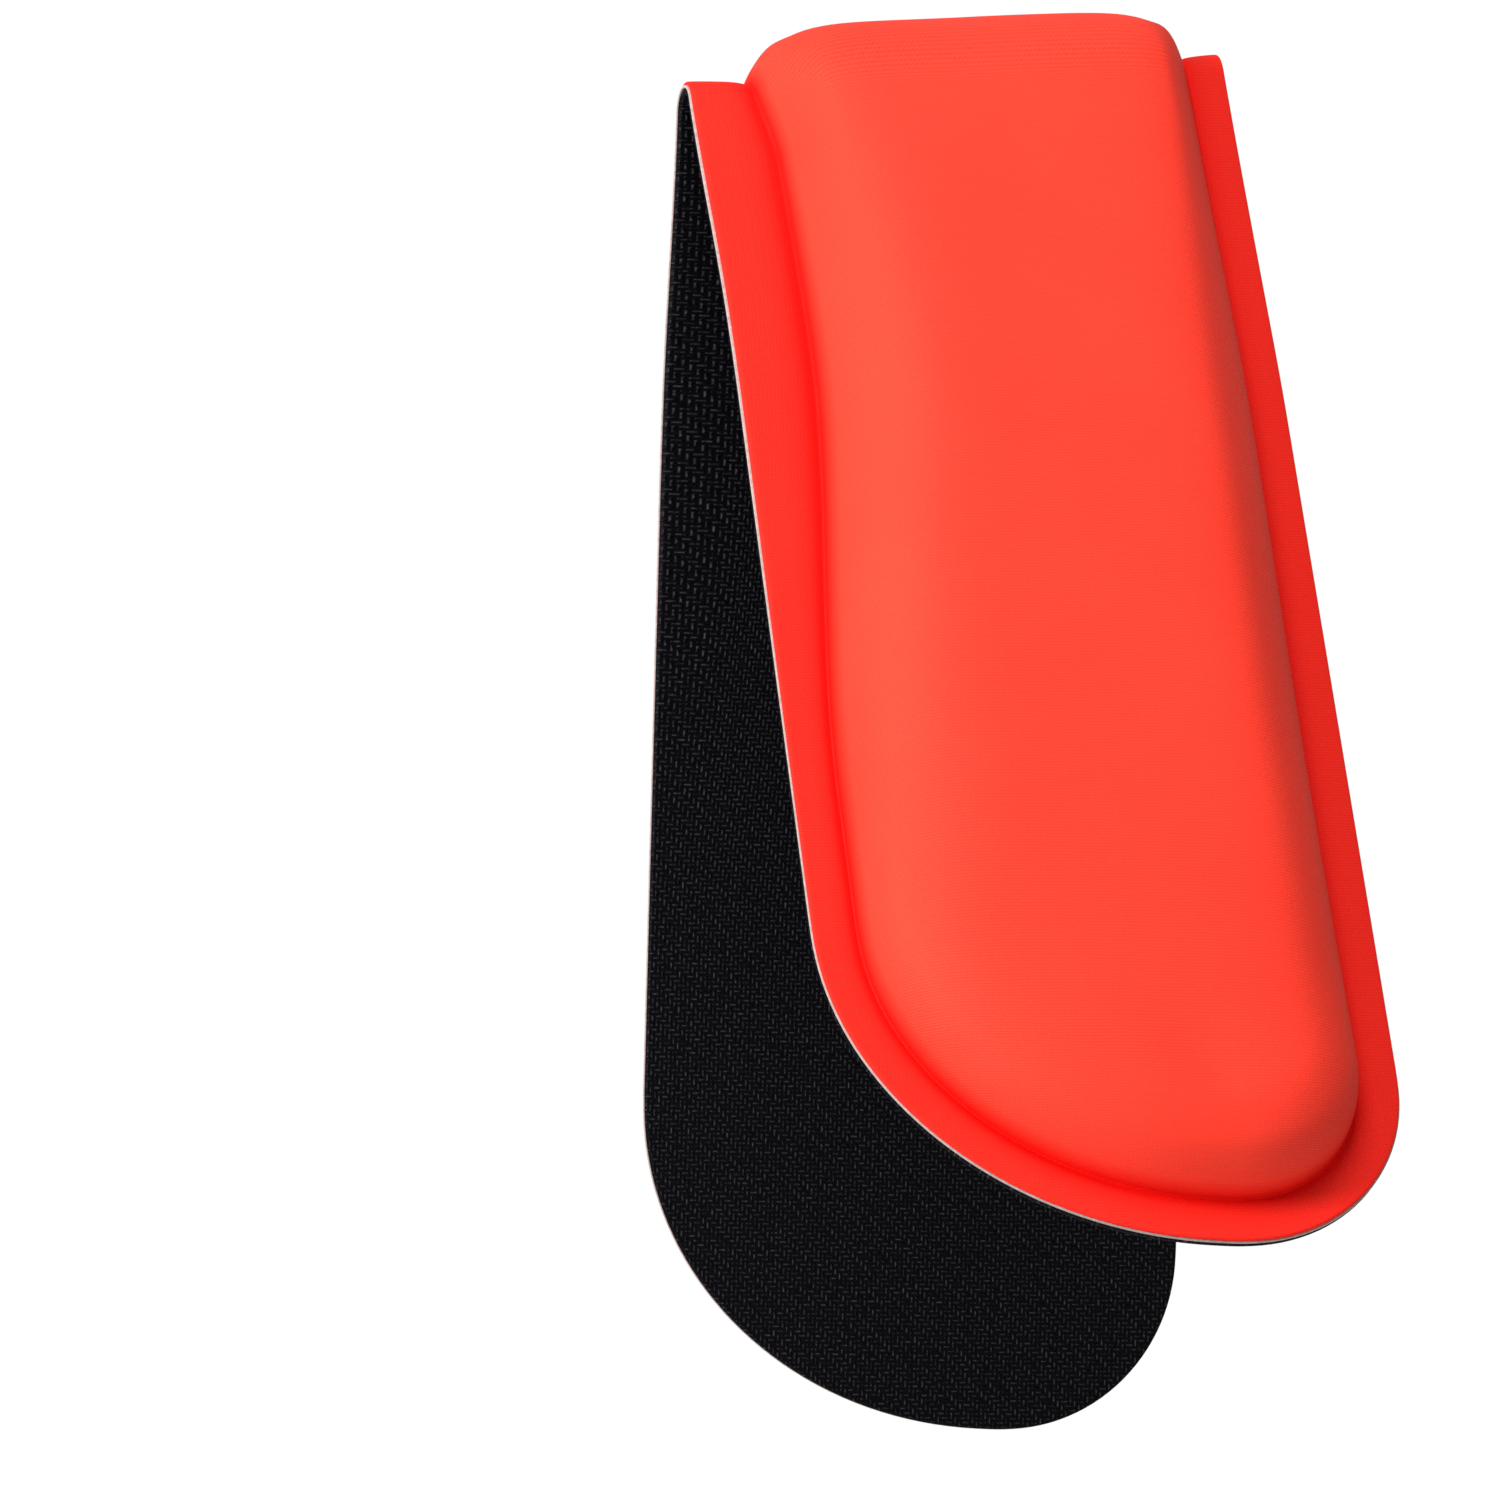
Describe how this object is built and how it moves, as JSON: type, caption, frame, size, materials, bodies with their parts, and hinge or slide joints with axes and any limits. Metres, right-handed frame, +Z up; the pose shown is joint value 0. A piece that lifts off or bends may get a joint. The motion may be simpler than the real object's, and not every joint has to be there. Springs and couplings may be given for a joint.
{
  "type": "keyboard wrist rest",
  "caption": "Soft foam wrist rest with a red knit cover and a black embossed rubber base, D-shaped at both ends and folded in half over its middle, opening out flat",
  "frame": {"origin": "on the black face at the crest of the fold, in the middle of the pad's width", "axes": "+Z up, with both halves hanging down from the fold; X across the pad, +X on the straight keyboard side; -Y toward the front half, +Y toward the back half"},
  "size_m": [0.088, 0.1536, 0.2143],
  "materials": {
    "base_rubber": "matte, fine herringbone emboss",
    "backing": "matte cut edge",
    "foam": "open-cell foam",
    "knit_cover": "fine stretch knit, soft sheen"
  },
  "bodies": {
    "crest": {"crest_base": "base_rubber", "crest_backing": "backing", "crest_core": "foam", "crest_cover": "knit_cover"},
    "front_half": {"front_base": "base_rubber", "front_backing": "backing", "front_core": "foam", "front_cover": "knit_cover"},
    "back_half": {"back_base": "base_rubber", "back_backing": "backing", "back_core": "foam", "back_cover": "knit_cover"}
  },
  "joints": [
    {"name": "front_fold", "type": "hinge", "parent": "crest", "child": "front_half", "pos_m": [0, -0.00591, -0.00022], "axis": [-1, 0, 0], "range_deg": [-13, 74.4], "deforming": ["crest_base", "crest_backing", "crest_core", "crest_cover"]},
    {"name": "back_fold", "type": "hinge", "parent": "crest", "child": "back_half", "pos_m": [0, 0.00591, -0.00022], "axis": [1, 0, 0], "range_deg": [-13, 74.4]}
  ],
  "couplings": [
    {"joint": "back_fold", "follows": "front_fold", "ratio": 1}
  ]
}
